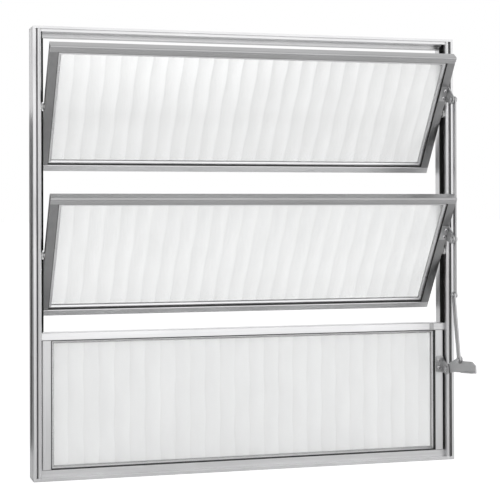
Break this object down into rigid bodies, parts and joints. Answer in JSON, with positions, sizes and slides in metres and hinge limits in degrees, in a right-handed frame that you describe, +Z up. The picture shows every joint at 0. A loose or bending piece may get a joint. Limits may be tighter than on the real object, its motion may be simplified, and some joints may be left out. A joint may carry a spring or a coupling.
{
  "type": "aluminium pivot window",
  "caption": "Aluminium pivot window with tilting glazed sashes over a fixed light, joined by a rod to a hand lever on the right jamb.",
  "frame": {"origin": "middle of the underside of the sill, at mid-depth of the frame", "axes": "+X to the right seen from the room, +Y from the room outwards, +Z up"},
  "size_m": [0.6, 0.1684, 0.6],
  "materials": {
    "frame_aluminium": "satin",
    "sash_aluminium": "satin",
    "bead_aluminium": "satin",
    "hardware_aluminium": "brushed",
    "pin_steel": "turned",
    "fluted_glass": "fluted and translucent",
    "seal_rubber": "matt",
    "bush_plastic": "matt"
  },
  "bodies": {
    "frame": {"head": "frame_aluminium", "sill": "frame_aluminium", "jamb_left": "frame_aluminium", "jamb_right": "frame_aluminium", "transom": "frame_aluminium", "transom_end_piece": "frame_aluminium", "transom_end_clip": "hardware_aluminium", "fixed_stile_left": "frame_aluminium", "fixed_stile_right": "frame_aluminium", "fixed_rear_stop": "frame_aluminium", "fixed_bead": "bead_aluminium", "fixed_gasket": "seal_rubber", "fixed_glass": "fluted_glass", "fixed_side_seals": "seal_rubber", "weather_strip_left": "seal_rubber", "weather_strip_right": "seal_rubber", "upper_pivot_bushes": "bush_plastic", "lower_pivot_bushes": "bush_plastic", "lever_base": "hardware_aluminium", "lever_pivot_pin": "pin_steel"},
    "upper_sash": {"upper_top_rail": "sash_aluminium", "upper_bottom_rail": "sash_aluminium", "upper_stile_left": "sash_aluminium", "upper_stile_right": "sash_aluminium", "upper_bead": "bead_aluminium", "upper_gasket": "seal_rubber", "upper_glass": "fluted_glass", "upper_pivot_pins": "pin_steel", "upper_bracket": "hardware_aluminium", "upper_bracket_pin": "pin_steel"},
    "lower_sash": {"lower_top_rail": "sash_aluminium", "lower_bottom_rail": "sash_aluminium", "lower_stile_left": "sash_aluminium", "lower_stile_right": "sash_aluminium", "lower_bead": "bead_aluminium", "lower_gasket": "seal_rubber", "lower_glass": "fluted_glass", "lower_pivot_pins": "pin_steel", "lower_bracket": "hardware_aluminium", "lower_bracket_pin": "pin_steel"},
    "connecting_rod": {"connecting_rod": "hardware_aluminium", "rod_pin": "pin_steel"},
    "link": {"link": "hardware_aluminium"},
    "lever": {"lever": "hardware_aluminium", "lever_pin": "pin_steel"}
  },
  "joints": [
    {"name": "upper_pivot", "type": "hinge", "parent": "frame", "child": "upper_sash", "pos_m": [0, -0.01, 0.4945], "axis": [1, 0, 0], "range_deg": [-34, 26]},
    {"name": "lower_pivot", "type": "hinge", "parent": "frame", "child": "lower_sash", "pos_m": [0, -0.01, 0.298], "axis": [1, 0, 0], "range_deg": [-34, 26]},
    {"name": "rod_hinge", "type": "hinge", "parent": "upper_sash", "child": "connecting_rod", "pos_m": [0.287, -0.0525, 0.5115], "axis": [1, 0, 0], "range_deg": [-26, 34]},
    {"name": "lever_pivot", "type": "hinge", "parent": "frame", "child": "lever", "pos_m": [0.287, -0.027, 0.13], "axis": [1, 0, 0], "range_deg": [-34, 26]},
    {"name": "link_hinge", "type": "hinge", "parent": "lever", "child": "link", "pos_m": [0.285, -0.0695, 0.147], "axis": [1, 0, 0], "range_deg": [-26, 34]}
  ],
  "couplings": [
    {"joint": "lower_pivot", "follows": "upper_pivot", "ratio": 1},
    {"joint": "rod_hinge", "follows": "upper_pivot", "ratio": -1},
    {"joint": "lever_pivot", "follows": "upper_pivot", "ratio": 1},
    {"joint": "link_hinge", "follows": "upper_pivot", "ratio": -1}
  ]
}
